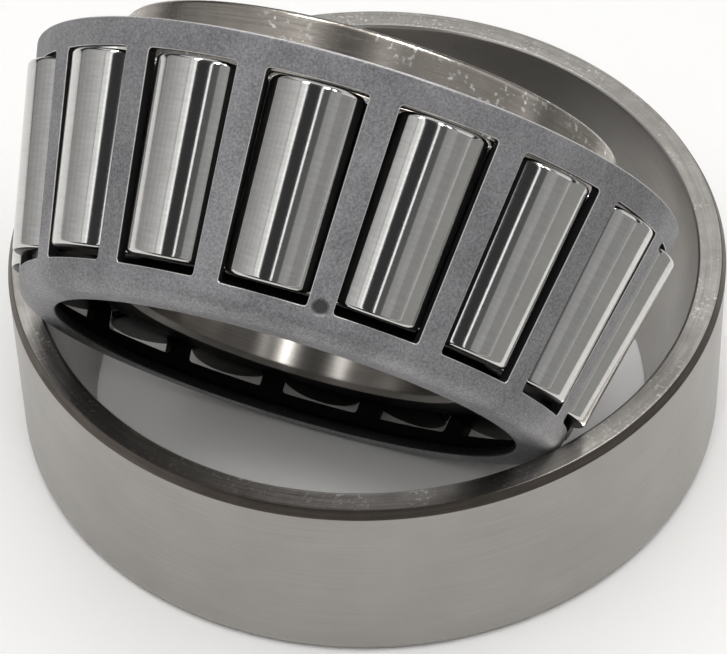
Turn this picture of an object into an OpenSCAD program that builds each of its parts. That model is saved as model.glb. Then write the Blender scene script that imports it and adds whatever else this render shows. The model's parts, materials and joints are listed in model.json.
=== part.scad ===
// Single-row tapered roller bearing, shown with its two separable halves apart:
// the outer ring lies on its back face and the cone assembly (inner ring, cage and
// rollers) leans out of it, small end down.
//
// Outer ring frame: origin at the centre of the back face, +Z along its axis.
// The cone assembly is drawn seated in the outer ring and is then leaned over.
// All raceways and rollers share one apex on the axis, so they roll without slip.

/* [Outer ring] */
// Outside diameter
outer_d = 130; // [122:1:180]
// Width
outer_w = 37; // [35:0.5:50]
// Wall left between the raceway and the outside at the front face
lip_w = 5; // [3:0.1:8]
// Half angle of the outer raceway, in degrees
contact_angle = 12.95; // [10:0.05:16]
// Corner radius between the back face and the outside
outer_back_r = 2.5; // [1:0.1:4]
// Chamfer between the front face and the outside, measured on the face
outer_front_c = 0.8; // [0.3:0.1:1.5]
// Chamfer at both ends of the raceway
race_edge_c = 0.3; // [0.1:0.1:0.6]

/* [Rollers] */
// Large-end diameter
roller_d = 18; // [14:0.1:18.6]
// Length along the roller's own axis
roller_len = 33.2; // [26:0.1:35]
// Depth of the rollers' large ends below the outer ring's front face, on the raceway
roller_setback = 2.8; // [1:0.1:5]
// Corner radius at both roller ends
roller_corner = 1; // [0.5:0.1:1.6]
// Crown height of the roller's large end
roller_crown = 0.12; // [0.05:0.01:0.3]
// Direction of the first roller about the assembly's axis, in degrees
roller_phase = 7.2; // [0:0.1:22.5]

/* [Inner ring] */
// Bore diameter
bore_d = 60; // [44:1:64]
// Width of the large rib, from the raceway to the back face
large_rib_w = 10.7; // [6:0.1:16]
// Height of the large rib above the raceway
large_rib_h = 3.3; // [2:0.1:4.5]
// Width of the small rib, from the raceway to the small face
small_rib_w = 2.2; // [1.5:0.1:6]
// Height of the small rib above the raceway
small_rib_h = 1.9; // [1:0.1:2.4]
// Bore chamfer at the back face
bore_back_c = 2.5; // [1:0.1:3.5]
// Bore chamfer at the small face
bore_front_c = 1; // [0.6:0.1:3]
// Chamfer on the ribs' outer edges
rib_edge_c = 0.8; // [0.3:0.1:1.2]
// Depth of the grinding undercut beside each rib
undercut = 0.4; // [0.2:0.05:0.8]

/* [Cage] */
// Sheet thickness
cage_t = 2; // [1.2:0.1:2.4]
// Radial distance from the outer raceway to the cage's outside
cage_gap = 2.3; // [1.5:0.1:3]
// Height of the cage's large end above the outer ring's front face
cage_rise = 2.8; // [1.5:0.1:5]
// Drop from the rollers' small ends to the underside of the cage's foot flange
cage_drop = 5.9; // [5:0.1:9]
// Outside radius of the bend into the foot flange
cage_bend_r = 4; // [3:0.1:4.5]
// Radial gap between the foot flange and the small rib
flange_gap = 3.2; // [1:0.1:4.5]
// Rounding of the cage's large-end edge
cage_edge_c = 0.5; // [0.2:0.1:0.6]
// Outward flare of the window's long sides, in degrees
window_flare = 9; // [4:1:20]
// Gap between the window and the roller's large end
window_gap_large = 0.45; // [0.3:0.05:1]
// Gap between the window and the roller's small end
window_gap_small = 1.6; // [0.4:0.1:2.2]

/* [Fits] */
// Clearance between the rollers and the inner raceway
race_gap = 0.1; // [0.05:0.05:0.2]
// Clearance between the roller ends and the ribs
rib_gap = 0.15; // [0.1:0.05:0.4]
// Clearance between a roller and the long sides of its window
pocket_gap = 0.2; // [0.15:0.05:0.4]

/* [Resting place] */
// Lean of the cone assembly from upright, in degrees
lean_angle = 58.4; // [55:0.1:64]
// Gap where the leaning assembly meets the ground and the outer ring
rest_gap = 0.2; // [0.1:0.05:0.5]

/* [Hidden] */
$fn = 96;
roller_n = 16;
roller_names = [for (i = [1:roller_n]) str("roller_", i < 10 ? "0" : "", i)];
pitch = 360 / roller_n;
arc_steps = 8;
clear_cut = 40;

// Outer raceway radius at height z, and the height of the common apex
function race_r(z) = outer_d / 2 - lip_w - (outer_w - z) * tan(contact_angle);
apex_z = -race_r(0) / tan(contact_angle);

// The roller's half angle comes from its large end sitting on the outer raceway
roller_top_z = outer_w - roller_setback;
roller_half = asin(roller_d / 2 * cos(contact_angle) / (roller_top_z - apex_z));
roller_tilt = contact_angle - roller_half;
s_large = roller_d / 2 / tan(roller_half);
s_small = s_large - roller_len;

// Roller radius at distance s from the apex along the roller's axis
function roller_r(s) = s * tan(roller_half);

// [radius, height] of a point at distance s along a roller's axis and h outside it
function at(s, h) = [s * sin(roller_tilt) + h * cos(roller_tilt),
                     apex_z + s * cos(roller_tilt) - h * sin(roller_tilt)];

// Points of an arc about centre c, from angle a0 to a1
function arc(c, r, a0, a1) =
    [for (i = [0:arc_steps]) let (a = a0 + (a1 - a0) * i / arc_steps) c + r * [cos(a), sin(a)]];

// Inner ring: raceway corners, rib radii and end faces
s_rib = s_large + rib_gap;
s_small_rib = s_small - rib_gap;
function race_in(s, extra = 0) = at(s, -roller_r(s) - race_gap - extra);
large_rib_r = race_in(s_rib)[0] + large_rib_h;
small_rib_r = race_in(s_small_rib)[0] + small_rib_h;
back_face_z = race_in(s_rib)[1] + large_rib_w;
small_face_z = race_in(s_small_rib)[1] - small_rib_w;
rib_slope = tan(roller_tilt);
large_rib_foot_z = race_in(s_rib)[1] - large_rib_h * rib_slope;
small_rib_top_z = race_in(s_small_rib)[1] - small_rib_h * rib_slope;
undercut_w = 3 * undercut;

// Cage: outside and inside radius of its cone at height z, end planes and opening
function cage_out(z) = race_r(z) - cage_gap;
function cage_in(z) = cage_out(z) - cage_t / cos(contact_angle);
cage_top_z = outer_w + cage_rise;
foot_z = at(s_small, roller_r(s_small))[1] - cage_drop;
flange_r = small_rib_r + flange_gap;
bend_c = [cage_out(foot_z + cage_bend_r) - cage_bend_r / cos(contact_angle), foot_z + cage_bend_r];

// Window: height above the roller axis at which the roller passes through the cage's inside
// cone, and half width there. A point h outside the roller's axis at distance s from the apex
// lies on the inside cone where square_k * h^2 + 2 * line_k(s) * h + rest_k(s) = 0.
inside_back = cage_gap + cage_t / cos(contact_angle);
inside_fall = sin(roller_tilt) * tan(contact_angle);
function inside_level(s) = s * cos(roller_tilt) * tan(contact_angle) - inside_back;
square_k = -pow(sin(roller_tilt), 2) - pow(inside_fall, 2);
function line_k(s) = s * sin(roller_tilt) * cos(roller_tilt) + inside_level(s) * inside_fall;
function rest_k(s) = pow(s * sin(roller_tilt), 2) + pow(roller_r(s), 2) - pow(inside_level(s), 2);
function inside_h(s) = (-line_k(s) + sqrt(pow(line_k(s), 2) - square_k * rest_k(s))) / square_k;
function inside_w(s) = sqrt(pow(roller_r(s), 2) - pow(inside_h(s), 2)) + pocket_gap;
function side_at_axis(s) = inside_w(s) - inside_h(s) * tan(window_flare);
side_taper = (side_at_axis(s_large) - side_at_axis(s_small)) / roller_len;
side_turn = atan(side_taper * cos(window_flare));

// Resting place of the leaning assembly: the circles [radius, height] of its outline
outline = concat(
    [for (k = [0:10]) let (s = s_small + roller_len * k / 10) at(s, roller_r(s))],
    arc(bend_c, cage_bend_r, -90, -contact_angle),
    [[cage_out(cage_top_z), cage_top_z], [large_rib_r, back_face_z],
     [small_rib_r, small_face_z], [flange_r, foot_z]]);
// Lift that brings its lowest point just clear of the ground
lean_z = rest_gap - min([for (p = outline) p[1] * cos(lean_angle) - p[0] * sin(lean_angle)]);
// Shift that brings it just clear of the near side of the outer ring's raceway
function shift_for(p, a) =
    let (x = p[0] * sin(a),
         y = p[0] * cos(a) * cos(lean_angle) + p[1] * sin(lean_angle),
         z = p[1] * cos(lean_angle) - p[0] * cos(a) * sin(lean_angle) + lean_z,
         room = pow(race_r(z) - rest_gap, 2) - x * x)
    z > outer_w || room < 0 ? -outer_d : -sqrt(room) - y;
lean_y = max([for (p = outline, a = [0:0.5:180]) shift_for(p, a)]);

// Puts the cone assembly, drawn seated, in its resting place
module leaned() {
    translate([0, lean_y, lean_z]) rotate([-lean_angle, 0, 0]) children();
}

// A solid of revolution about the Z axis from [radius, height] points
module turned(points) {
    rotate_extrude() polygon(points);
}

// Moves a child drawn on the Z axis onto the axis of roller i, apex at the origin
module on_roller_axis(i) {
    rotate([0, 0, roller_phase + (i - 1) * pitch])
        translate([0, 0, apex_z])
            rotate([0, roller_tilt, 0]) children();
}

module outer_ring() {
    r = outer_d / 2;
    back_c = [r - outer_back_r, outer_back_r];
    color("#9a9792")
        turned(concat(
            [[race_r(0) + race_edge_c, 0]],
            arc(back_c, outer_back_r, -90, 0),
            [[r, outer_w - 2 * outer_front_c],
             [r - outer_front_c, outer_w],
             [race_r(outer_w) + race_edge_c, outer_w],
             [race_r(outer_w - race_edge_c), outer_w - race_edge_c],
             [race_r(race_edge_c), race_edge_c]]));
}

module inner_ring() {
    bore_r = bore_d / 2;
    color("#8d8983")
        leaned()
            turned([
                [bore_r, small_face_z + bore_front_c],
                [bore_r + bore_front_c, small_face_z],
                [small_rib_r - rib_edge_c, small_face_z],
                [small_rib_r, small_face_z + rib_edge_c],
                [small_rib_r, small_rib_top_z],
                race_in(s_small_rib, undercut),
                race_in(s_small_rib + undercut_w, undercut),
                race_in(s_small_rib + 2 * undercut_w),
                race_in(s_rib - 2 * undercut_w),
                race_in(s_rib - undercut_w, undercut),
                race_in(s_rib, undercut),
                [large_rib_r, large_rib_foot_z],
                [large_rib_r, back_face_z - rib_edge_c],
                [large_rib_r - rib_edge_c, back_face_z],
                [bore_r + bore_back_c, back_face_z],
                [bore_r, back_face_z - bore_back_c]]);
}

module cage_shell() {
    turned(concat(
        [[flange_r, foot_z]],
        arc(bend_c, cage_bend_r, -90, -contact_angle),
        [[cage_out(cage_top_z - cage_edge_c), cage_top_z - cage_edge_c],
         [cage_out(cage_top_z) - cage_edge_c, cage_top_z],
         [cage_in(cage_top_z) + cage_edge_c, cage_top_z],
         [cage_in(cage_top_z - cage_edge_c), cage_top_z - cage_edge_c]],
        arc(bend_c, cage_bend_r - cage_t, -contact_angle, -90),
        [[flange_r, foot_z + cage_t]]));
}

// Everything inside one long side of a window, flared outwards and tapering with
// the roller
module inside_of_long_side() {
    translate([0, side_at_axis(s_large), s_large])
        rotate([-side_turn, 0, window_flare])
            translate([-clear_cut / 2, -clear_cut, -2 * clear_cut])
                cube([2 * clear_cut, clear_cut, 3 * clear_cut]);
}

module window() {
    start = s_small - window_gap_small;
    end = s_large + window_gap_large;
    intersection() {
        inside_of_long_side();
        mirror([0, 1, 0]) inside_of_long_side();
        translate([0, -clear_cut / 2, start]) cube([clear_cut / 2, clear_cut, end - start]);
    }
}

module cage() {
    color("#8b8b8c")
        leaned()
            difference() {
                cage_shell();
                for (i = [1:roller_n]) on_roller_axis(i) window();
            }
}

module roller(i) {
    r_low = roller_r(s_small + roller_corner) - roller_corner / cos(roller_half);
    r_high = roller_r(s_large - roller_corner) - roller_corner / cos(roller_half);
    shoulder = roller_len - roller_crown;
    color("#c9c9c9")
        leaned()
            on_roller_axis(i)
                translate([0, 0, s_small])
                    turned(concat(
                        [[0, 0]],
                        arc([r_low, roller_corner], roller_corner, -90, -roller_half),
                        arc([r_high, shoulder - roller_corner], roller_corner, -roller_half, 90),
                        [[r_high / 2, roller_len - roller_crown / 4], [0, roller_len]]));
}

outer_ring();
inner_ring();
cage();
for (i = [1:roller_n])
    roller(i);
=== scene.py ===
"""Looks of a single-row tapered roller bearing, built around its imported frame.

The outer ring lies on its back face and the cone assembly leans out of it. Each ring, the pressed
cage and the rollers are modelled as solids of revolution in their own turning frame, in millimetres
of design size, and then put in place from the frame's joints. Every finish is a procedural steel.
"""
import json
import logging
import math
from dataclasses import dataclass, field
from enum import Enum
from typing import Any, Optional

import bpy
from mathutils import Matrix, Vector


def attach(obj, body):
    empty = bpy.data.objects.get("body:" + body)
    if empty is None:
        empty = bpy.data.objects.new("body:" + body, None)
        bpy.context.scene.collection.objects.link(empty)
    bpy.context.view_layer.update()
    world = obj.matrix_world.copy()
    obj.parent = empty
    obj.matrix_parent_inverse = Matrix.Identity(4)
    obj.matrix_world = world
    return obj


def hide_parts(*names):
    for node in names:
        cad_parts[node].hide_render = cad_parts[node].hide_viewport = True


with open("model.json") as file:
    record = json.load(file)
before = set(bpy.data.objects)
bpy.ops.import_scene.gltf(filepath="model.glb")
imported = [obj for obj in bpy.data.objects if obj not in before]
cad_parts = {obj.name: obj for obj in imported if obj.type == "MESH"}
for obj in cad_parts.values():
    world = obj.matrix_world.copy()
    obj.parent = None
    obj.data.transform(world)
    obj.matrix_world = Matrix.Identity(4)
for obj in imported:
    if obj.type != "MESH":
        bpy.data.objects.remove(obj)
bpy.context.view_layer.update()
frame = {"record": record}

LOG = logging.getLogger("tapered_roller_bearing")
MM = 0.001
TURNED = "turned"
SPIN_AXIS = (0.0, 0.0, 1.0)
PUNCH_PLACE = (18.95, -45.74, 1.2)
Point = tuple[float, float]


# ---------------------------------------------------------------------------------------------
# Colours and shader nodes
# ---------------------------------------------------------------------------------------------
def linear(code: str) -> tuple[float, float, float, float]:
    """Turns an sRGB hex colour into linear light.

    Args:
        code: six hex digits after a hash, such as "#8b8b8c".

    Returns:
        Linear red, green, blue and an alpha of 1.
    """
    parts = [int(code[i:i + 2], 16) / 255 for i in (1, 3, 5)]
    r, g, b = (c / 12.92 if c <= 0.04045 else ((c + 0.055) / 1.055) ** 2.4 for c in parts)
    return r, g, b, 1.0


def add(tree: bpy.types.NodeTree, kind: str, inputs: Optional[dict[Any, Any]] = None,
        **settings: Any) -> bpy.types.Node:
    """Adds one shader node with its settings, values and links.

    Args:
        tree: the node tree that gets it.
        kind: the node's type name without "ShaderNode".
        inputs: socket name or number to a value, or to the output socket that feeds it.
        **settings: properties of the node.

    Returns:
        The new node.
    """
    made = tree.nodes.new("ShaderNode" + kind)
    for name, value in settings.items():
        setattr(made, name, value)
    for key, value in (inputs or {}).items():
        if isinstance(value, bpy.types.NodeSocket):
            tree.links.new(value, made.inputs[key])
        else:
            made.inputs[key].default_value = value
    return made


def math_node(tree: bpy.types.NodeTree, operation: str, *values: Any) -> bpy.types.NodeSocket:
    """Adds a Math node and returns its output; values are numbers or sockets, in order."""
    return add(tree, "Math", dict(enumerate(values)), operation=operation).outputs[0]


def spread(tree: bpy.types.NodeTree, value: bpy.types.NodeSocket, low: float, high: float,
           to_low: float, to_high: float) -> bpy.types.NodeSocket:
    """Maps value from low..high to to_low..to_high, clamped, and returns the output socket."""
    sockets = {"Value": value, "From Min": low, "From Max": high, "To Min": to_low, "To Max": to_high}
    return add(tree, "MapRange", sockets, clamp=True).outputs["Result"]


def blend_colour(tree: bpy.types.NodeTree, amount: bpy.types.NodeSocket, first: Any,
                 second: Any) -> bpy.types.NodeSocket:
    """Mixes two colours, each a linear colour or a socket, by amount and returns the output socket."""
    made = tree.nodes.new("ShaderNodeMix")
    made.data_type = "RGBA"
    tree.links.new(amount, made.inputs[0])
    for socket, colour in ((made.inputs[6], first), (made.inputs[7], second)):
        if isinstance(colour, bpy.types.NodeSocket):
            tree.links.new(colour, socket)
        else:
            socket.default_value = colour
    return made.outputs[2]


class Lay(Enum):
    """The way the finishing marks run on a turned surface."""

    ROUND = "around the axis"
    GRAIN = "no direction"


@dataclass(frozen=True)
class SteelFinish:
    """One finished steel surface: its colours, its gloss and its marks.

    The pattern reads the piece's own turning coordinates, in millimetres, so that grinding marks run
    round the piece wherever the piece lies.
    """

    name: str
    light: str
    dark: str
    rough_low: float
    rough_high: float
    lay: Lay
    mark_mm: float
    mark_depth_mm: float
    cloud_mm: float = 9.0
    speck: float = 0.0
    speck_mm: float = 0.6
    speck_colour: str = "#f2f1ee"
    metallic: float = 1.0
    brushed: float = 0.0
    punch_at: Optional[tuple[float, float, float]] = None

    def marks(self, tree: bpy.types.NodeTree, place: bpy.types.NodeSocket) -> bpy.types.NodeSocket:
        """Builds the fine finishing marks.

        Args:
            tree: the material's node tree.
            place: the turning coordinates in millimetres.

        Returns:
            A value socket of about 0 to 1.
        """
        if self.lay is Lay.GRAIN:
            grain = {"Vector": place, "Scale": 1 / self.mark_mm, "Detail": 3.0, "Roughness": 0.65}
            return add(tree, "TexNoise", grain).outputs["Fac"]
        parts = add(tree, "SeparateXYZ", {0: place}).outputs
        flat = add(tree, "CombineXYZ", {"X": parts["X"], "Y": parts["Y"]}).outputs[0]
        radius = add(tree, "VectorMath", {0: flat}, operation="LENGTH").outputs["Value"]
        unit = add(tree, "VectorMath", {0: flat}, operation="NORMALIZE").outputs["Vector"]
        turn = add(tree, "SeparateXYZ", {0: unit}).outputs
        across = math_node(tree, "ADD", math_node(tree, "MULTIPLY", parts["Z"], 1 / self.mark_mm),
                           math_node(tree, "MULTIPLY", radius, 1 / self.mark_mm))
        streaks = add(tree, "CombineXYZ", {"X": math_node(tree, "MULTIPLY", turn["X"], 2.2),
                                           "Y": math_node(tree, "MULTIPLY", turn["Y"], 2.2),
                                           "Z": across}).outputs[0]
        lines = {"Vector": streaks, "Scale": 1.0, "Detail": 4.0, "Roughness": 0.7}
        return add(tree, "TexNoise", lines).outputs["Fac"]

    def punch_mark(self, tree: bpy.types.NodeTree, place: bpy.types.NodeSocket) -> bpy.types.NodeSocket:
        """Builds the round inspector's punch mark: 0 at its bottom and 1 outside it."""
        away = add(tree, "VectorMath", {0: place, 1: self.punch_at}, operation="DISTANCE")
        return spread(tree, away.outputs["Value"], 0.9, 1.5, 0.0, 1.0)

    def build(self, axis: tuple[float, float, float] = SPIN_AXIS) -> bpy.types.Material:
        """Makes the material.

        Args:
            axis: the piece's turning axis where it lies, along which a brushed finish draws out
                its highlights.

        Returns:
            A node material whose colour, roughness and bump all vary over the surface.
        """
        material = bpy.data.materials.new(self.name)
        material.use_nodes = True
        tree = material.node_tree
        tree.nodes.clear()
        place = add(tree, "Attribute", attribute_name=TURNED, attribute_type="GEOMETRY").outputs["Vector"]
        marks = self.marks(tree, place)
        cloud = add(tree, "TexNoise", {"Vector": place, "Scale": 1 / self.cloud_mm, "Detail": 4.0,
                                       "Roughness": 0.6}).outputs["Fac"]
        tone = math_node(tree, "ADD", math_node(tree, "MULTIPLY", marks, 0.6),
                         math_node(tree, "MULTIPLY", cloud, 0.4))
        colour = blend_colour(tree, spread(tree, tone, 0.35, 0.65, 0.0, 1.0), linear(self.dark),
                              linear(self.light))
        if self.speck > 0:
            dots = add(tree, "TexNoise", {"Vector": place, "Scale": 1 / self.speck_mm, "Detail": 2.0,
                                          "Roughness": 0.5}).outputs["Fac"]
            patch = add(tree, "TexNoise", {"Vector": place, "Scale": 0.11, "Detail": 2.0}).outputs["Fac"]
            amount = math_node(tree, "MULTIPLY", spread(tree, dots, 0.57, 0.66, 0.0, self.speck),
                               spread(tree, patch, 0.45, 0.62, 0.0, 1.0))
            colour = blend_colour(tree, amount, colour, linear(self.speck_colour))
        rough = spread(tree, tone, 0.3, 0.7, self.rough_high, self.rough_low)
        bump = add(tree, "Bump", {"Height": marks, "Distance": self.mark_depth_mm * MM, "Strength": 1.0})
        if self.punch_at:
            dent = self.punch_mark(tree, place)
            # The cage's colour is darkened to #444344 inside and round the punch mark.
            colour = blend_colour(tree, dent, linear("#444344"), colour)
            bump = add(tree, "Bump", {"Height": dent, "Distance": 0.7 * MM, "Strength": 1.0,
                                      "Normal": bump.outputs["Normal"]})
        shader = add(tree, "BsdfPrincipled", {"Base Color": colour, "Metallic": self.metallic,
                                              "Roughness": rough, "Anisotropic": self.brushed,
                                              "Normal": bump.outputs["Normal"]})
        if self.brushed > 0:
            along = add(tree, "CombineXYZ", dict(enumerate(axis))).outputs[0]
            tree.links.new(along, shader.inputs["Tangent"])
        add(tree, "OutputMaterial", {"Surface": shader.outputs["BSDF"]})
        return material


# Bearing steel, cylindrically ground: grey with a warm cast and fine marks that run round the ring,
# drawn about ten times coarser than the real grit leaves them so that they show.
GROUND_OUTSIDE = SteelFinish("ground_steel_outside", "#a8a5a1", "#9c9995", 0.34, 0.42, Lay.ROUND,
                             0.22, 0.0004, cloud_mm=16.0, brushed=0.5)
# The raceway of the outer ring: the same steel, ground finer and seen in the shade.
GROUND_RACEWAY = SteelFinish("ground_steel_raceway", "#b3b0ac", "#a5a29e", 0.26, 0.34, Lay.ROUND,
                             0.25, 0.0005)
# Faces and chamfers of the rings as turned before hardening: darker, with coarser marks.
TURNED_CHAMFER = SteelFinish("turned_steel_chamfer", "#6d6660", "#4f4944", 0.34, 0.5, Lay.ROUND,
                             0.5, 0.004)
# The narrow front face of the outer ring, ground flat and handled: mottled, with bright nicks.
GROUND_FACE = SteelFinish("ground_steel_face", "#b4b0ab", "#85817c", 0.28, 0.42, Lay.ROUND, 0.4, 0.002,
                          cloud_mm=4.0, speck=0.5, speck_mm=0.7)
# The inner ring's large rib: ground steel, warmer, with bright scuffs from handling.
GROUND_RIB = SteelFinish("ground_steel_rib", "#b3ada5", "#8f8981", 0.2, 0.32, Lay.ROUND, 0.5, 0.0012,
                         cloud_mm=5.0, speck=1.0, speck_mm=0.9)
# Bore of the inner ring: ground round and round, so that its marks draw each lamp out into a bright
# streak along the axis.
HONED_BORE = SteelFinish("honed_steel_bore", "#a39f9a", "#8b8782", 0.33, 0.37, Lay.ROUND, 0.3, 0.0006,
                         brushed=1.0)
# Pressed sheet steel, shot-blasted and phosphated: matte grey with a fine even grain, which is drawn
# at half a millimetre, a few times coarser than the crystals, so that it shows.
PHOSPHATED_SHEET = SteelFinish("phosphated_sheet", "#a09fa1", "#686769", 0.46, 0.6, Lay.GRAIN,
                               0.42, 0.04, cloud_mm=14.0, metallic=0.6, punch_at=PUNCH_PLACE)
# Where the punch sheared the sheet, and where its edges rub, the steel is bare and bright.
SHEARED_EDGE = SteelFinish("sheared_sheet_edge", "#d8d6d4", "#b4b2b0", 0.3, 0.45, Lay.GRAIN, 0.8, 0.01,
                           metallic=0.4)
# Walls of the windows: sheared and near-black, partly dark with oil and partly painted shade that stands
# for the shade in the deep, narrow windows.
WINDOW_WALL_OIL_AND_SHADE = SteelFinish("window_wall_oil_and_painted_shade", "#161516", "#0b0b0b", 0.5, 0.65, Lay.GRAIN, 0.8, 0.01,
                          metallic=0.3)
# Painted shade: the inner raceway, the ribs' inner faces and the small end faces of the inner ring and of
# the rollers are ground steel coloured near-black, standing for the shade between the parts.
RACEWAY_PAINTED_SHADE = SteelFinish("raceway_painted_shade", "#2b2927", "#1a1918", 0.3, 0.42, Lay.ROUND, 0.4,
                            0.0008)
# The inside of the cage: the same sheet, coloured near-black as painted shade for the shade inside the
# cage.
CAGE_INSIDE_PAINTED_SHADE = SteelFinish("cage_inside_painted_shade", "#2c2b2c", "#1b1a1b", 0.4, 0.55, Lay.GRAIN, 0.5, 0.02,
                          metallic=0.6)
# Rollers: bearing steel, superfinished to a mirror, with hardly visible marks round the roller.
SUPERFINISHED = SteelFinish("superfinished_roller", "#d2d1ce", "#c4c3c0", 0.09, 0.12, Lay.ROUND,
                            0.6, 0.00001, cloud_mm=5.0)


# ---------------------------------------------------------------------------------------------
# Drawing and turning profiles
# ---------------------------------------------------------------------------------------------
@dataclass(frozen=True)
class Corner:
    """A corner of a turned outline: radius and height in millimetres, and its rounding."""

    r: float
    z: float
    rounding: float = 0.0


def rounded(corners: list[Corner], closed: bool, step_deg: float = 15.0,
            support: float = 0.35) -> list[Point]:
    """Rounds an outline's corners and adds points that keep the flats flat when shaded smooth.

    Args:
        corners: the outline's corners in order.
        closed: whether the last corner joins the first.
        step_deg: the largest turn of one step of an arc, in degrees.
        support: distance of the extra points from an arc's ends, in millimetres.

    Returns:
        Points [radius, height] in millimetres.
    """
    count = len(corners)
    runs: list[list[Vector]] = []
    for i, corner in enumerate(corners):
        here = Vector((corner.r, corner.z))
        if corner.rounding == 0 or (not closed and i in (0, count - 1)):
            runs.append([here])
            continue
        before = corners[i - 1]
        after = corners[(i + 1) % count]
        back = (Vector((before.r, before.z)) - here).normalized()
        ahead = (Vector((after.r, after.z)) - here).normalized()
        opening = back.angle(ahead)
        reach = corner.rounding / math.tan(opening / 2)
        centre = here + (back + ahead).normalized() * corner.rounding / math.sin(opening / 2)
        first, last = here + back * reach - centre, here + ahead * reach - centre
        turn = first.angle_signed(last)
        steps = max(2, math.ceil(abs(math.degrees(turn)) / step_deg))
        runs.append([centre + Matrix.Rotation(-turn * k / steps, 2) @ first for k in range(steps + 1)])
    points: list[Vector] = []
    for i, run in enumerate(runs):
        points += run
        if i == count - 1 and not closed:
            break
        following = runs[(i + 1) % count][0]
        gap = following - run[-1]
        if gap.length > 3 * support:
            points += [run[-1] + gap.normalized() * support, following - gap.normalized() * support]
    return [(p.x, p.y) for p in points]


def deselect_all() -> None:
    """Leaves object mode with nothing selected."""
    if bpy.context.object and bpy.context.object.mode == "EDIT":
        bpy.ops.object.mode_set(mode="OBJECT")
    bpy.ops.object.select_all(action="DESELECT")


def draw_outline(name: str, points: list[Point], closed: bool) -> bpy.types.Object:
    """Draws an outline in the XZ plane, vertex by vertex, and leaves it selected in edit mode.

    Args:
        name: the new object's name.
        points: [radius, height] in millimetres.
        closed: whether the last point joins the first.

    Returns:
        The new object, in edit mode.
    """
    deselect_all()
    bpy.ops.mesh.primitive_plane_add(size=MM, location=(0, 0, 0))
    piece = bpy.context.object
    piece.name = piece.data.name = name
    bpy.ops.object.mode_set(mode="EDIT")
    bpy.ops.mesh.select_mode(type="VERT")
    bpy.ops.mesh.select_all(action="SELECT")
    bpy.ops.mesh.merge(type="CENTER")
    track = [Vector((r * MM, 0, z * MM)) for r, z in (points + points[:1] if closed else points)]
    bpy.ops.transform.translate(value=track[0])
    for here, there in zip(track, track[1:]):
        bpy.ops.mesh.extrude_vertices_move(TRANSFORM_OT_translate={"value": there - here})
    bpy.ops.mesh.select_all(action="SELECT")
    bpy.ops.mesh.remove_doubles(threshold=1e-7)
    bpy.ops.mesh.select_all(action="SELECT")
    return piece


def close_mesh(merge: float = 1e-6) -> None:
    """Merges doubles, turns all faces outwards and leaves edit mode."""
    bpy.ops.mesh.select_all(action="SELECT")
    bpy.ops.mesh.remove_doubles(threshold=merge)
    bpy.ops.mesh.normals_make_consistent(inside=False)
    bpy.ops.object.mode_set(mode="OBJECT")


def turned_solid(name: str, points: list[Point], steps: int, closed: bool) -> bpy.types.Object:
    """Spins an outline once round Z into a closed solid.

    Args:
        name: the new object's name.
        points: [radius, height] in millimetres.
        steps: number of segments round the axis.
        closed: whether the outline closes on itself; an open one starts and ends on the axis.

    Returns:
        The new object, in object mode, shaded smooth.
    """
    piece = draw_outline(name, points, closed)
    bpy.ops.mesh.spin(steps=steps, angle=math.tau, center=(0, 0, 0), axis=SPIN_AXIS)
    close_mesh()
    bpy.ops.object.shade_smooth()
    return piece


def note_turning_frame(piece: bpy.types.Object) -> None:
    """Keeps each vertex's place in the turning frame, in millimetres, for the finish to follow."""
    mesh = piece.data
    kept = mesh.attributes.new(TURNED, "FLOAT_VECTOR", "POINT")
    for vertex, item in zip(mesh.vertices, kept.data):
        item.vector = vertex.co / MM


def put(piece: bpy.types.Object, place: Matrix) -> None:
    """Moves a piece to its place and applies it, so that its object stays at the origin."""
    deselect_all()
    piece.select_set(True)
    bpy.context.view_layer.objects.active = piece
    piece.matrix_world = place
    bpy.ops.object.transform_apply(location=True, rotation=True, scale=True)


def dress(piece: bpy.types.Object, finishes: list[bpy.types.Material]) -> None:
    """Gives the piece its finishes as material slots, in order."""
    for finish in finishes:
        piece.data.materials.append(finish)


def hand_over(piece: bpy.types.Object, node: str) -> None:
    """Lets the piece stand for a node, whose imported part it hides, ride on its body, and reports it."""
    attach(piece, node)
    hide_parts(node)
    LOG.info("%s stands for %s: %d faces", piece.name, node, len(piece.data.polygons))


# ---------------------------------------------------------------------------------------------
# Where things are
# ---------------------------------------------------------------------------------------------
def joint_named(name: str) -> dict[str, Any]:
    """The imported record's joint of that name."""
    return next(j for j in frame["record"]["behaviour"]["joints"] if j["name"] == name)


def axis_frame(joint: dict[str, Any], drop_mm: float) -> Matrix:
    """A frame whose Z is a joint's axis and whose X stays as level as it can.

    Args:
        joint: a hinge of the record.
        drop_mm: how far below the joint's point the frame's origin lies, along its axis.

    Returns:
        The 4x4 placing matrix.
    """
    up = Vector(joint["axis"]).normalized()
    side = Vector((1, 0, 0))
    side = (side - up * side.dot(up)).normalized()
    turn = Matrix((side, up.cross(side), up)).transposed().to_4x4()
    return Matrix.Translation(Vector(joint["pos_m"]) - up * drop_mm * MM) @ turn


@dataclass(frozen=True)
class ConeLine:
    """The outer raceway's cone, on which the rollers, the cage and the outer ring agree."""

    half_angle: float = 12.95
    front_r: float = 60.0
    front_z: float = 37.0

    def radius(self, z: float) -> float:
        """Raceway radius at height z, in millimetres."""
        return self.front_r - (self.front_z - z) * math.tan(math.radians(self.half_angle))


RACEWAY = ConeLine()


# ---------------------------------------------------------------------------------------------
# The pieces
# ---------------------------------------------------------------------------------------------
class Zone(Enum):
    """Which finish a face of a ring gets: its place in the ring's list of materials."""

    MAIN = 0
    RACEWAY = 1
    CHAMFER = 2
    FACE = 3


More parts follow.
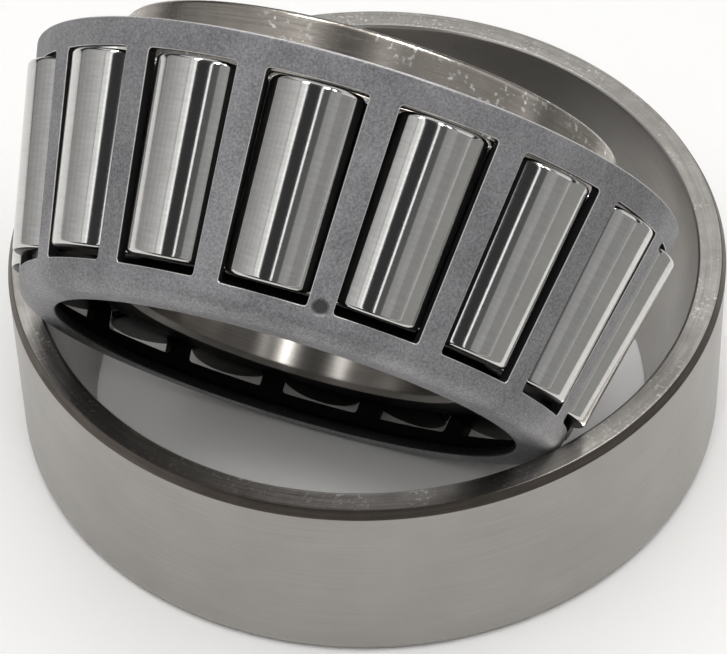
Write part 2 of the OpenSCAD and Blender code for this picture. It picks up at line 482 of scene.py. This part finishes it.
@dataclass
class OuterRing:
    """The outer ring, lying on its back face."""

    outside_r: float = 65.0
    width: float = 37.0
    back_rounding: float = 2.5
    front_chamfer: float = 0.8
    steps: int = 288

    def outline(self) -> list[Point]:
        """The ring's section, rounded, as [radius, height] points in millimetres."""
        chamfer_low = self.width - 2 * self.front_chamfer
        inner_edge = 0.3
        return rounded([
            Corner(RACEWAY.radius(0) + inner_edge, 0, 0.15),
            Corner(self.outside_r, 0, self.back_rounding),
            Corner(self.outside_r, chamfer_low, 0.25),
            Corner(self.outside_r - self.front_chamfer, self.width, 0.2),
            Corner(RACEWAY.radius(self.width) + inner_edge, self.width, 0.12),
            Corner(RACEWAY.radius(self.width - inner_edge), self.width - inner_edge, 0.12),
            Corner(RACEWAY.radius(inner_edge), inner_edge, 0.15),
        ], closed=True)

    def zone(self, centre: Vector, normal: Vector) -> Zone:
        """Chooses the finish of a face by its centre, in millimetres, and its normal."""
        radius = math.hypot(centre.x, centre.y)
        outward = (normal.x * centre.x + normal.y * centre.y) / max(radius, 1e-6)
        if outward < -0.5:
            return Zone.RACEWAY
        if abs(normal.z) > 0.985:
            return Zone.FACE
        if centre.z > self.width - 2 * self.front_chamfer and outward > 0.3:
            return Zone.CHAMFER
        return Zone.MAIN

    def build(self) -> bpy.types.Object:
        """Models, dresses and hands over the ring."""
        ring = turned_solid("outer_ring_body", self.outline(), self.steps, closed=True)
        note_turning_frame(ring)
        dress(ring, [GROUND_OUTSIDE.build(), GROUND_RACEWAY.build(), TURNED_CHAMFER.build(),
                     GROUND_FACE.build()])
        for face in ring.data.polygons:
            face.material_index = self.zone(face.center / MM, face.normal).value
        put(ring, Matrix.Identity(4))
        hand_over(ring, "outer_ring")
        return ring


@dataclass
class Rollers:
    """The tapered rollers, each about its own tilted axis."""

    count: int = 16
    large_d: float = 18.0
    length: float = 33.2
    half_angle: float = 1.947
    corner: float = 1.0
    crown: float = 0.12
    steps: int = 96

    def outline(self) -> list[Point]:
        """The roller's half section, centred on its length, from axis to axis."""
        small_r = self.large_d / 2 - self.length * math.tan(math.radians(self.half_angle))
        top = self.length / 2
        shoulder = top - self.crown
        return rounded([
            Corner(0, -top),
            Corner(small_r, -top, self.corner),
            Corner(self.large_d / 2, shoulder, self.corner),
            Corner(self.large_d / 4, top - self.crown / 4, 6.0),
            Corner(0, top),
        ], closed=False, step_deg=10.0)

    def build(self) -> list[bpy.types.Object]:
        """Models one roller, copies it for the others and hands each over."""
        first = turned_solid("tapered_roller_01", self.outline(), self.steps, closed=False)
        note_turning_frame(first)
        # The second slot is painted shade, given to the roller's small end face.
        dress(first, [SUPERFINISHED.build(), RACEWAY_PAINTED_SHADE.build()])
        for face in first.data.polygons:
            face.material_index = int(face.center.z / MM < -self.length / 2 + 0.3)
        rollers = [first]
        for i in range(2, self.count + 1):
            copy = first.copy()
            copy.data = first.data.copy()
            copy.name = copy.data.name = f"tapered_roller_{i:02d}"
            bpy.context.scene.collection.objects.link(copy)
            rollers.append(copy)
        for i, roller in enumerate(rollers, start=1):
            put(roller, axis_frame(joint_named(f"roller_{i:02d}_spin"), 0.0))
            hand_over(roller, f"roller_{i:02d}")
        return rollers


@dataclass
class ConeAssemblyPlace:
    """Where the cone assembly lies: a frame in which it is drawn as if seated in the outer ring."""

    mid_height: float = 25.5019
    place: Matrix = field(init=False)
    phase: float = field(init=False)

    def __post_init__(self) -> None:
        """Works out the leaning frame and the direction of the first roller in it."""
        self.place = axis_frame(joint_named("inner_ring_spin"), self.mid_height)
        spot = self.place.inverted() @ Vector(joint_named("roller_01_spin")["pos_m"])
        self.phase = math.atan2(spot.y, spot.x)


@dataclass
class InnerRing:
    """The inner ring with its two ribs, its raceway and its bore."""

    place: ConeAssemblyPlace
    bore_r: float = 30.0
    large_rib_r: float = 44.91
    small_rib_r: float = 38.24
    back_z: float = 48.5
    small_z: float = 2.5
    rib_foot_z: float = 37.04
    small_rib_top_z: float = 4.34
    race_top: Point = (41.61, 37.68)
    race_bottom: Point = (36.33, 4.68)
    steps: int = 288

    def outline(self) -> list[Point]:
        """The ring's section as [radius, height] points in millimetres."""
        slope = (self.race_top[0] - self.race_bottom[0]) / (self.race_top[1] - self.race_bottom[1])
        groove, groove_w = 0.4, 1.2
        top_r, top_z = self.race_top
        low_r, low_z = self.race_bottom
        return rounded([
            Corner(self.bore_r, self.small_z + 1.0, 0.3),
            Corner(self.bore_r + 1.0, self.small_z, 0.3),
            Corner(self.small_rib_r, self.small_z, 0.8),
            Corner(self.small_rib_r, self.small_rib_top_z, 0.3),
            Corner(low_r - groove, low_z, 0.2),
            Corner(low_r - groove + groove_w * slope, low_z + groove_w, 0.2),
            Corner(low_r + 2 * groove_w * slope, low_z + 2 * groove_w, 0.2),
            Corner(top_r - 2 * groove_w * slope, top_z - 2 * groove_w, 0.2),
            Corner(top_r - groove - groove_w * slope, top_z - groove_w, 0.2),
            Corner(top_r - groove, top_z, 0.2),
            Corner(self.large_rib_r, self.rib_foot_z, 0.4),
            Corner(self.large_rib_r, self.back_z, 0.9),
            Corner(self.bore_r + 2.5, self.back_z, 0.6),
            Corner(self.bore_r, self.back_z - 2.5, 0.6),
        ], closed=True)

    def zone(self, centre: Vector, normal: Vector) -> Zone:
        """Chooses the finish of a face by its centre, in millimetres, and its normal."""
        radius = math.hypot(centre.x, centre.y)
        outward = (normal.x * centre.x + normal.y * centre.y) / max(radius, 1e-6)
        if outward < -0.3:
            return Zone.CHAMFER
        # The raceway, the ribs' inner faces and the small end face get the slot of painted shade.
        if centre.z < self.rib_foot_z + 0.9 and (radius > self.bore_r + 3 or centre.z < self.small_z + 0.1):
            return Zone.RACEWAY
        return Zone.FACE if abs(normal.z) > 0.9 else Zone.MAIN

    def build(self) -> bpy.types.Object:
        """Models, dresses, places and hands over the ring."""
        ring = turned_solid("inner_ring_body", self.outline(), self.steps, closed=True)
        note_turning_frame(ring)
        axis = tuple(joint_named("inner_ring_spin")["axis"])
        dress(ring, [GROUND_RIB.build(axis), RACEWAY_PAINTED_SHADE.build(axis), HONED_BORE.build(axis),
                     GROUND_FACE.build(axis)])
        for face in ring.data.polygons:
            face.material_index = self.zone(face.center / MM, face.normal).value
        put(ring, self.place.place)
        hand_over(ring, "inner_ring")
        return ring


@dataclass
class Cage:
    """The window cage, pressed from sheet: one pitch is modelled and copied round the axis."""

    place: ConeAssemblyPlace
    pockets: int = 16
    sheet: float = 2.0
    inside_raceway: float = 2.3
    top_z: float = 39.8
    foot_z: float = -4.07
    opening_r: float = 41.44
    bend_r: float = 4.0
    window_low_z: float = 0.7
    window_high_z: float = 35.06
    window_deg: float = 17.38
    window_corner: float = 0.7
    rim: float = 0.13
    rows: int = 14

    def out_r(self, z: float) -> float:
        """Outside radius of the cage's cone at height z."""
        return RACEWAY.radius(z) - self.inside_raceway

    def inside_point(self, z: float) -> Point:
        """The point of the sheet's inside straight under the outside point at height z."""
        lean = math.radians(RACEWAY.half_angle)
        return self.out_r(z) - self.sheet * math.cos(lean), z + self.sheet * math.sin(lean)

    def window_levels(self) -> list[float]:
        """Heights of the rows of the sheet between the ends of a window, both ends included."""
        span = self.window_high_z - self.window_low_z
        return [self.window_low_z + span * i / self.rows for i in range(self.rows + 1)]

    def outline(self) -> list[Point]:
        """The sheet's section, whose rows meet each window's ends, as points in millimetres."""
        lean = math.radians(RACEWAY.half_angle)
        bend_z = self.foot_z + self.bend_r
        bend = (self.out_r(bend_z) - self.bend_r / math.cos(lean), bend_z)

        def arc(radius: float, start: float, end: float, steps: int) -> list[Point]:
            """Points of an arc about the bend's centre; angles in radians."""
            turns = [start + (end - start) * i / steps for i in range(steps + 1)]
            return [(bend[0] + radius * math.cos(t), bend[1] + radius * math.sin(t)) for t in turns]

        levels = self.window_levels()
        edge = 0.45
        top_out = Vector((self.out_r(self.top_z), self.top_z))
        along = Vector((math.sin(lean), math.cos(lean)))
        inward = Vector((-math.cos(lean), math.sin(lean)))
        end_arc_out = [top_out - along * edge + inward * edge
                       + edge * (Vector((math.cos(lean), -math.sin(lean))) * math.cos(t)
                                 + along * math.sin(t))
                       for t in (math.pi / 2 * i / 5 for i in range(6))]
        end_arc_in = [top_out - along * edge + inward * (self.sheet - edge)
                      + edge * (along * math.cos(t) + inward * math.sin(t))
                      for t in (math.pi / 2 * i / 5 for i in range(6))]
        flange_edge = 0.4
        points = [(self.opening_r, self.foot_z + flange_edge),
                  (self.opening_r + 0.12, self.foot_z + 0.12),
                  (self.opening_r + flange_edge, self.foot_z)]
        points += arc(self.bend_r, -math.pi / 2, -lean, 9)
        points += [(self.out_r(z), z) for z in levels]
        points += [(self.out_r(z), z) for z in (self.window_high_z + 0.5, self.top_z - edge - 0.8)]
        points += [(p.x, p.y) for p in end_arc_out + end_arc_in]
        points += [self.inside_point(z) for z in (self.top_z - edge - 0.8, self.window_high_z + 0.5)]
        points += [self.inside_point(z) for z in reversed(levels)]
        points += arc(self.bend_r - self.sheet, -lean, -math.pi / 2, 7)
        points += [(self.opening_r + flange_edge, self.foot_z + self.sheet),
                   (self.opening_r, self.foot_z + self.sheet - flange_edge)]
        return points

    def in_window(self, centre: Vector) -> bool:
        """Whether a face of the first pitch, by its centre in millimetres, lies in the window."""
        pitch = math.tau / self.pockets
        half = math.radians(self.window_deg) / 2
        turn = abs(abs(math.atan2(centre.y, centre.x)) - pitch / 2)
        radius = math.hypot(centre.x, centre.y)
        drop = self.sheet * math.sin(math.radians(RACEWAY.half_angle))
        outside = abs(radius - self.out_r(centre.z)) < self.sheet / 4
        low = self.window_low_z + (0 if outside else drop)
        high = self.window_high_z + (0 if outside else drop)
        near_sheet = abs(radius - self.out_r(centre.z) + (0 if outside else self.sheet)) < self.sheet / 3
        return turn < half and low < centre.z < high and near_sheet

    def select(self, piece: bpy.types.Object, kind: str, test: Any) -> int:
        """Selects vertices, edges or faces by place, in edit mode.

        Args:
            piece: the object being edited.
            kind: "VERT", "EDGE" or "FACE".
            test: called with each element's points, in millimetres.

        Returns:
            How many were selected.
        """
        bpy.ops.mesh.select_mode(type=kind)
        bpy.ops.mesh.select_all(action="DESELECT")
        bpy.ops.object.mode_set(mode="OBJECT")
        mesh = piece.data
        places = [v.co / MM for v in mesh.vertices]
        chosen = 0
        if kind == "VERT":
            for vertex in mesh.vertices:
                vertex.select = test([places[vertex.index]])
                chosen += vertex.select
        elif kind == "EDGE":
            for edge in mesh.edges:
                edge.select = test([places[i] for i in edge.vertices])
                chosen += edge.select
        else:
            for face in mesh.polygons:
                face.select = test([places[i] for i in face.vertices])
                chosen += face.select
        bpy.ops.object.mode_set(mode="EDIT")
        return chosen

    def build(self) -> bpy.types.Object:
        """Models one pitch with its window, copies it round, dresses, places and hands over the cage."""
        pitch = math.tau / self.pockets
        window = math.radians(self.window_deg)
        bar_half = (pitch - window) / 2
        cage = draw_outline("window_cage", self.outline(), closed=True)
        # Slots: sheet, bright rim steel, window walls with oil and painted shade, painted shade on the
        # cage's inside.
        dress(cage, [PHOSPHATED_SHEET.build(), SHEARED_EDGE.build(), WINDOW_WALL_OIL_AND_SHADE.build(),
                     CAGE_INSIDE_PAINTED_SHADE.build()])
        for angle, steps in ((bar_half, 4), (window, 26), (bar_half, 4)):
            bpy.ops.mesh.spin(steps=steps, angle=angle, center=(0, 0, 0), axis=SPIN_AXIS)
        bpy.ops.mesh.select_all(action="SELECT")
        bpy.ops.mesh.remove_doubles(threshold=1e-7)
        bpy.ops.mesh.normals_make_consistent(inside=False)

        def centre_in_window(points: list[Vector]) -> bool:
            """Whether a face's middle lies in the window."""
            return self.in_window(sum(points, Vector()) / len(points))

        found = self.select(cage, "FACE", centre_in_window)
        LOG.info("window faces removed: %d", found)
        bpy.ops.mesh.delete(type="FACE")
        limits = (bar_half, bar_half + window)
        drop = self.sheet * math.sin(math.radians(RACEWAY.half_angle))

        def turn_of(p: Vector) -> float:
            """Angle of a point round the axis, from the start of the pitch."""
            return abs(math.atan2(p.y, p.x))

        def on_limit(p: Vector) -> bool:
            """Whether a point lies on one of the window's long sides."""
            return min(abs(turn_of(p) - a) for a in limits) < 1e-4

        def on_end(p: Vector) -> bool:
            """Whether a point lies on one of the window's short sides, outside or inside."""
            ends = (self.window_low_z, self.window_high_z)
            return min(abs(p.z - e - d) for e in ends for d in (0.0, drop)) < 2e-3

        def on_rim(points: list[Vector]) -> bool:
            """Whether an edge is part of a window's rim."""
            radii = [math.hypot(p.x, p.y) - self.out_r(p.z) for p in points]
            same_side = abs(radii[0] - radii[1]) < 0.3
            between = all(limits[0] - 1e-4 < turn_of(p) < limits[1] + 1e-4
                          and self.window_low_z - 1e-3 < p.z < self.window_high_z + drop + 1e-3
                          for p in points)
            along_side = all(on_limit(p) for p in points) and turn_gap(points) < 1e-4
            along_end = all(on_end(p) for p in points) and abs(points[0].z - points[1].z) < 1e-3
            return same_side and between and (along_side or along_end)

        def turn_gap(points: list[Vector]) -> float:
            """Difference in angle between an edge's two ends."""
            return abs(turn_of(points[0]) - turn_of(points[1]))

        found = self.select(cage, "EDGE", on_rim)
        LOG.info("window rim edges: %d", found)
        bpy.ops.mesh.select_mode(type="EDGE")
        bpy.ops.mesh.select_all(action="DESELECT")
        bpy.ops.mesh.select_non_manifold(extend=False, use_wire=False, use_boundary=True,
                                         use_multi_face=False, use_non_contiguous=False,
                                         use_verts=False)
        bpy.ops.object.mode_set(mode="OBJECT")
        places = [v.co / MM for v in cage.data.vertices]
        for edge in cage.data.edges:
            ends = [places[i] for i in edge.vertices]
            cut_plane = all(turn_of(p) < 1e-4 or turn_of(p) > pitch - 1e-4 for p in ends)
            if edge.select and cut_plane:
                edge.select = False
        bpy.ops.object.mode_set(mode="EDIT")
        bpy.ops.mesh.bridge_edge_loops()

        def window_corner(points: list[Vector]) -> bool:
            """Whether an edge runs through the sheet at a window's corner."""
            depth = abs((math.hypot(points[0].x, points[0].y) - self.out_r(points[0].z))
                        - (math.hypot(points[1].x, points[1].y) - self.out_r(points[1].z)))
            return depth > self.sheet * 0.8 and all(on_limit(p) and on_end(p) for p in points)

        found = self.select(cage, "EDGE", window_corner)
        LOG.info("window corner edges: %d", found)
        bpy.ops.mesh.bevel(offset=self.window_corner * MM, offset_type="OFFSET", segments=5,
                           affect="EDGES", clamp_overlap=False)
        bpy.ops.mesh.select_mode(type="EDGE")
        bpy.ops.mesh.select_all(action="DESELECT")
        bpy.ops.mesh.edges_select_sharp(sharpness=math.radians(55))
        bpy.ops.mesh.bevel(offset=self.rim * MM, offset_type="OFFSET", segments=2, affect="EDGES",
                           material=1, clamp_overlap=True)
        bpy.ops.mesh.select_all(action="SELECT")
        bpy.ops.mesh.spin(steps=self.pockets - 1, angle=pitch * (self.pockets - 1), dupli=True,
                          center=(0, 0, 0), axis=SPIN_AXIS)
        close_mesh(merge=2e-6)
        bpy.ops.object.shade_smooth()
        bpy.ops.object.modifier_add(type="WEIGHTED_NORMAL")
        bpy.ops.object.modifier_apply(modifier=bpy.context.object.modifiers[-1].name)
        note_turning_frame(cage)
        self.mark_walls(cage)
        put(cage, self.place.place @ Matrix.Rotation(self.place.phase - pitch / 2, 4, "Z"))
        hand_over(cage, "cage")
        return cage

    def mark_walls(self, cage: bpy.types.Object) -> None:
        """Gives the windows' walls their near-black finish, partly oil and partly painted shade; they face
        round or along the axis. The cage's inside gets painted shade and the top edge the bright rim steel.
        """
        low, high = self.window_low_z - 0.3, self.window_high_z + 0.8
        for face in cage.data.polygons:
            centre = face.center / MM
            out = Vector((centre.x, centre.y, 0)).normalized()
            slant = face.normal.dot(out)
            # The cage's inside gets painted shade.
            if slant < -0.6 and face.material_index == 0:
                face.material_index = 3
            elif centre.z > self.top_z - 0.42 and 0.25 < slant < 0.9:
                face.material_index = 1
            # Inward-facing rim bevels and the windows' side walls get the finish of oil and painted shade.
            elif face.material_index == 1 and slant < 0.05:
                face.material_index = 2
            elif low < centre.z < high and abs(slant) < 0.45 and face.material_index == 0:
                face.material_index = 2


# ---------------------------------------------------------------------------------------------
# The studio
# ---------------------------------------------------------------------------------------------
@dataclass(frozen=True)
class Panel:
    """A soft light panel that stands at an angle round the cone assembly's axis.

    Angles are in degrees from the camera's side, positive to the right; the radiance is what a
    mirror pointed at the panel would show, where 1 is white.
    """

    name: str
    start: float
    end: float
    radiance: float
    length_m: float = 1.5
    distance_m: float = 1.1
    along_m: float = 0.0
    diffuse: bool = True


@dataclass
class Studio:
    """Camera, floor and lights."""

    lean: Matrix
    azimuth: float = 21.51
    elevation: float = 46.80
    distance_m: float = 0.66233
    aim_mm: tuple[float, float, float] = (-0.84, -0.59, 15.61)
    roll_deg: float = -1.81
    lens_mm: float = 173.84
    floor_colour: str = "#f4f3f1"
    panels: tuple[Panel, ...] = (
        Panel("left_rim", -104, -90, 0.34),
        Panel("left_far", -90, -76, 0.41),
        Panel("left_soft", -76, -64, 0.49),
        Panel("left_inner", -64, -54, 0.58),
        Panel("left_light", -54, -44.6, 0.67),
        Panel("left_bright", -43.6, -34, 0.95),
        Panel("left_edge", -34, -29.5, 1.5),
        Panel("camera_slit", -1.8, 2.0, 1.7),
        Panel("right_shade", 5, 17, 0.08),
        Panel("right_soft", 17, 28, 0.36),
        Panel("right_light", 28, 40, 0.41),
        Panel("right_low", 40, 62, 0.3),
        Panel("right_far", 62, 76, 0.36),
        Panel("bore_strip_left", 3, 9, 70.0, 0.5, 0.9, 0.87, diffuse=False),
        Panel("bore_strip_right", -44, -38, 40.0, 0.5, 0.9, 0.87, diffuse=False),
        Panel("bore_strip_dim", 22, 27, 14.0, 0.5, 0.9, 0.87, diffuse=False),
    )
    fill_radiance: float = 1.2
    front_radiance: float = 3.5
    front_elevation: float = 64.0
    back_radiance: float = 0.7
    card_colour: str = "#969694"

    def camera_place(self) -> tuple[Vector, Vector]:
        """The camera's location and the point that it looks at, in metres."""
        a, e = math.radians(self.azimuth), math.radians(self.elevation)
        back = Vector((math.sin(a) * math.cos(e), -math.cos(a) * math.cos(e), math.sin(e)))
        return back * self.distance_m, Vector(self.aim_mm) * MM

    def add_camera(self) -> None:
        """Makes the camera and makes it the scene's."""
        location, aim = self.camera_place()
        data = bpy.data.cameras.new("camera")
        data.lens = self.lens_mm
        data.clip_start, data.clip_end = 0.01, 50.0
        camera = bpy.data.objects.new("camera", data)
        bpy.context.scene.collection.objects.link(camera)
        look = (aim - location).to_track_quat("-Z", "Y").to_matrix().to_4x4()
        camera.matrix_world = (Matrix.Translation(location) @ look
                               @ Matrix.Rotation(math.radians(self.roll_deg), 4, "Z"))
        bpy.context.scene.camera = camera

    def add_panel(self, panel: Panel) -> None:
        """Stands one light panel round the cone assembly's axis."""
        middle = self.lean @ Vector((0, 0, 0.022))
        axis = (self.lean.to_3x3() @ Vector((0, 0, 1))).normalized()
        toward = (self.camera_place()[0] - middle).normalized()
        toward = (toward - axis * toward.dot(axis)).normalized()
        turn = math.radians((panel.start + panel.end) / 2)
        out = Matrix.Rotation(turn, 3, axis) @ toward
        width = 2 * panel.distance_m * math.tan(math.radians(panel.end - panel.start) / 2)
        data = bpy.data.lights.new(panel.name, "AREA")
        data.shape = "RECTANGLE"
        data.size, data.size_y = width, panel.length_m
        data.energy = panel.radiance * math.pi * width * panel.length_m
        light = bpy.data.objects.new(panel.name, data)
        bpy.context.scene.collection.objects.link(light)
        reach = out * panel.distance_m + axis * panel.along_m
        back = reach.normalized()
        side = axis.cross(out)
        turned = Matrix((side, back.cross(side), back)).transposed().to_4x4()
        light.matrix_world = Matrix.Translation(middle + reach) @ turned
        light.visible_camera = False
        light.visible_diffuse = panel.diffuse

    def add_fill(self) -> None:
        """Hangs a wide soft light overhead that lights the floor but doesn't show in the steel."""
        size = 3.0
        data = bpy.data.lights.new("overhead_fill", "AREA")
        data.shape = "SQUARE"
        data.size = size
        data.energy = self.fill_radiance * math.pi * size * size
        light = bpy.data.objects.new("overhead_fill", data)
        bpy.context.scene.collection.objects.link(light)
        light.location = (0, 0, 2.2)
        light.visible_camera = False
        light.visible_glossy = False

    def add_front(self) -> None:
        """Puts a soft light high in front that fills the shade inside the outer ring."""
        size = 0.8
        data = bpy.data.lights.new("front_fill", "AREA")
        data.shape = "SQUARE"
        data.size = size
        data.energy = self.front_radiance * math.pi * size * size
        light = bpy.data.objects.new("front_fill", data)
        bpy.context.scene.collection.objects.link(light)
        a, e = math.radians(self.azimuth), math.radians(self.front_elevation)
        out = Vector((math.sin(a) * math.cos(e), -math.cos(a) * math.cos(e), math.sin(e)))
        light.matrix_world = (Matrix.Translation(out * 1.5)
                              @ out.to_track_quat("Z", "Y").to_matrix().to_4x4())
        light.visible_camera = False
        light.visible_glossy = False

    def add_back(self) -> None:
        """Stands soft panels behind, which the level faces and the inner ring's back face reflect."""
        toward = self.camera_place()[0].normalized()
        behind = Vector((-toward.x, -toward.y, toward.z))
        aside = Vector((0.72, 0.5, 0.48)).normalized()
        for name, out in (("back_panel", behind), ("side_back_panel", aside)):
            data = bpy.data.lights.new(name, "AREA")
            data.shape = "RECTANGLE"
            data.size, data.size_y = 1.5, 1.0
            data.energy = self.back_radiance * math.pi * data.size * data.size_y
            light = bpy.data.objects.new(name, data)
            bpy.context.scene.collection.objects.link(light)
            light.matrix_world = (Matrix.Translation(out * 1.6)
                                  @ out.to_track_quat("Z", "Y").to_matrix().to_4x4())
            light.visible_camera = False

    def add_card(self) -> None:
        """Lays a grey card on the floor at the right, which shows only in mirroring steel."""
        deselect_all()
        bpy.ops.mesh.primitive_plane_add(size=1.0, location=(0.78, -0.02, 0.0005))
        card = bpy.context.object
        card.name = "grey_card"
        card.scale = (1.3, 0.9, 1.0)
        bpy.ops.object.transform_apply(location=True, rotation=True, scale=True)
        material = bpy.data.materials.new("grey_card")
        material.use_nodes = True
        tree = material.node_tree
        tree.nodes.clear()
        shader = add(tree, "BsdfPrincipled", {"Base Color": linear(self.card_colour), "Roughness": 0.8})
        add(tree, "OutputMaterial", {"Surface": shader.outputs["BSDF"]})
        card.data.materials.append(material)
        card.visible_camera = card.visible_diffuse = card.visible_shadow = False

    def add_floor(self) -> None:
        """Lays the plain pale floor."""
        deselect_all()
        bpy.ops.mesh.primitive_circle_add(vertices=96, radius=6.0, fill_type="NGON",
                                          location=(0, 0, -0.00002))
        floor = bpy.context.object
        floor.name = "floor"
        material = bpy.data.materials.new("pale_floor")
        material.use_nodes = True
        tree = material.node_tree
        tree.nodes.clear()
        place = add(tree, "TexCoord").outputs["Object"]
        cloud = add(tree, "TexNoise", {"Vector": place, "Scale": 3.0, "Detail": 3.0}).outputs["Fac"]
        rough = spread(tree, cloud, 0.3, 0.7, 0.6, 0.7)
        shader = add(tree, "BsdfPrincipled", {"Base Color": linear(self.floor_colour),
                                              "Roughness": rough})
        add(tree, "OutputMaterial", {"Surface": shader.outputs["BSDF"]})
        floor.data.materials.append(material)

    def add_world(self) -> None:
        """Makes the room: dim in reflections, pale where the camera sees past the floor."""
        world = bpy.data.worlds.new("room")
        bpy.context.scene.world = world
        world.use_nodes = True
        tree = world.node_tree
        tree.nodes.clear()
        seen = add(tree, "LightPath").outputs["Is Camera Ray"]
        dim = add(tree, "Background", {"Color": linear("#3c3c3e"), "Strength": 1.0})
        pale = add(tree, "Background", {"Color": linear("#f4f3f1"), "Strength": 1.0})
        both = add(tree, "MixShader", {0: seen, 1: dim.outputs[0], 2: pale.outputs[0]})
        add(tree, "OutputWorld", {"Surface": both.outputs[0]})

    def build(self) -> None:
        """Sets up the whole studio."""
        self.add_camera()
        self.add_floor()
        self.add_world()
        self.add_fill()
        self.add_front()
        self.add_back()
        self.add_card()
        for panel in self.panels:
            self.add_panel(panel)
        bpy.context.scene.view_settings.view_transform = "Standard"


def main() -> None:
    """Builds the bearing piece by piece and then the studio round it."""
    logging.basicConfig(level=logging.INFO, format="%(name)s: %(message)s")
    place = ConeAssemblyPlace()
    OuterRing().build()
    InnerRing(place).build()
    Cage(place).build()
    Rollers().build()
    Studio(place.place).build()
    LOG.info("all pieces built")


if __name__ == "__main__":
    main()
